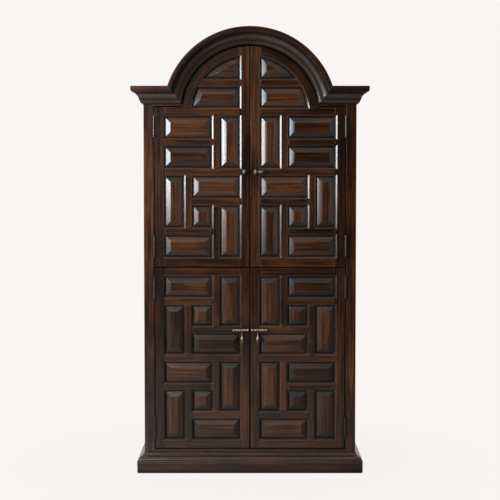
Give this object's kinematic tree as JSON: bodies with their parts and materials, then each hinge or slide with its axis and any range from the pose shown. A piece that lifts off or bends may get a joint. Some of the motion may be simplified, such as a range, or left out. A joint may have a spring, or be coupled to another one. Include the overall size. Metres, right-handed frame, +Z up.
{
  "type": "bar armoire",
  "caption": "Tall arched bar armoire with raised-panel doors, shelves, stemware rails and bottle rack; doors swing, a lever latch turns and drop pulls swing.",
  "frame": {"origin": "on the floor under the middle of the armoire's bounding box", "axes": "+X to the right as the viewer faces the doors, +Y to the back, +Z up"},
  "size_m": [1.18, 0.56, 2.2267],
  "materials": {
    "dark_wood": "dark stained, rubbed satin lacquer",
    "inner_wood": "dark stained, matt",
    "antique_brass": "antiqued",
    "hinge_metal": "dark antiqued"
  },
  "bodies": {
    "case": {"base_rail_front": "dark_wood", "base_rails_side": "dark_wood", "base_rail_back": "dark_wood", "base_cap_front": "dark_wood", "base_caps_side": "dark_wood", "bottom_board": "inner_wood", "counter_board": "inner_wood", "face_stile_left": "dark_wood", "face_stile_right": "dark_wood", "face_bottom_rail": "dark_wood", "arch_header": "dark_wood", "bullet_catches": "antique_brass", "cornice_left": "dark_wood", "cornice_right": "dark_wood", "arch_moulding": "dark_wood", "side_frame_left": "dark_wood", "side_frame_right": "dark_wood", "side_panels": "dark_wood", "roof_shoulders": "dark_wood", "roof_vault": "dark_wood", "back_panel_lower": "inner_wood", "back_panel_upper": "inner_wood", "shelf_upper": "inner_wood", "stemware_rails": "inner_wood", "shelves_adjustable": "inner_wood", "shelf_pins": "antique_brass", "bottle_rack": "inner_wood", "hinge_case_leaves": "hinge_metal", "hinge_pins": "hinge_metal"},
    "upper_left_door": {"upper_left_stiles": "dark_wood", "upper_left_rails": "dark_wood", "upper_left_panels_wide": "dark_wood", "upper_left_panels_tall": "dark_wood", "upper_left_hinge_leaves": "hinge_metal", "upper_left_arch_rail": "dark_wood", "knob": "antique_brass"},
    "upper_right_door": {"upper_right_stiles": "dark_wood", "upper_right_rails": "dark_wood", "upper_right_panels_wide": "dark_wood", "upper_right_panels_tall": "dark_wood", "upper_right_hinge_leaves": "hinge_metal", "upper_right_arch_rail": "dark_wood", "latch_rose": "antique_brass"},
    "lower_left_door": {"lower_left_stiles": "dark_wood", "lower_left_rails": "dark_wood", "lower_left_panels_wide": "dark_wood", "lower_left_panels_tall": "dark_wood", "lower_left_hinge_leaves": "hinge_metal", "pull_bar_left": "antique_brass"},
    "lower_right_door": {"lower_right_stiles": "dark_wood", "lower_right_rails": "dark_wood", "lower_right_panels_wide": "dark_wood", "lower_right_panels_tall": "dark_wood", "lower_right_hinge_leaves": "hinge_metal", "pull_bar_right": "antique_brass"},
    "latch": {"latch_lever": "antique_brass", "latch_tongue": "antique_brass"},
    "drop_left": {"pendant_left": "antique_brass"},
    "drop_right": {"pendant_right": "antique_brass"}
  },
  "joints": [
    {"name": "upper_left_hinge", "type": "hinge", "parent": "case", "child": "upper_left_door", "pos_m": [-0.478, -0.2255, 1.43525], "axis": [0, 0, -1], "range_deg": [0, 170]},
    {"name": "upper_right_hinge", "type": "hinge", "parent": "case", "child": "upper_right_door", "pos_m": [0.478, -0.2255, 1.43525], "axis": [0, 0, 1], "range_deg": [0, 170]},
    {"name": "lower_left_hinge", "type": "hinge", "parent": "case", "child": "lower_left_door", "pos_m": [-0.478, -0.2255, 0.5765], "axis": [0, 0, -1], "range_deg": [0, 170]},
    {"name": "lower_right_hinge", "type": "hinge", "parent": "case", "child": "lower_right_door", "pos_m": [0.478, -0.2255, 0.5765], "axis": [0, 0, 1], "range_deg": [0, 170]},
    {"name": "latch_turn", "type": "hinge", "parent": "upper_right_door", "child": "latch", "pos_m": [0.027, -0.22, 1.51095], "axis": [0, 1, 0], "range_deg": [0, 90]},
    {"name": "drop_swing_left", "type": "hinge", "parent": "lower_left_door", "child": "drop_left", "pos_m": [-0.039, -0.236, 0.72025], "axis": [-1, 0, 0], "range_deg": [0, 95]},
    {"name": "drop_swing_right", "type": "hinge", "parent": "lower_right_door", "child": "drop_right", "pos_m": [0.039, -0.236, 0.72025], "axis": [-1, 0, 0], "range_deg": [0, 95]}
  ]
}
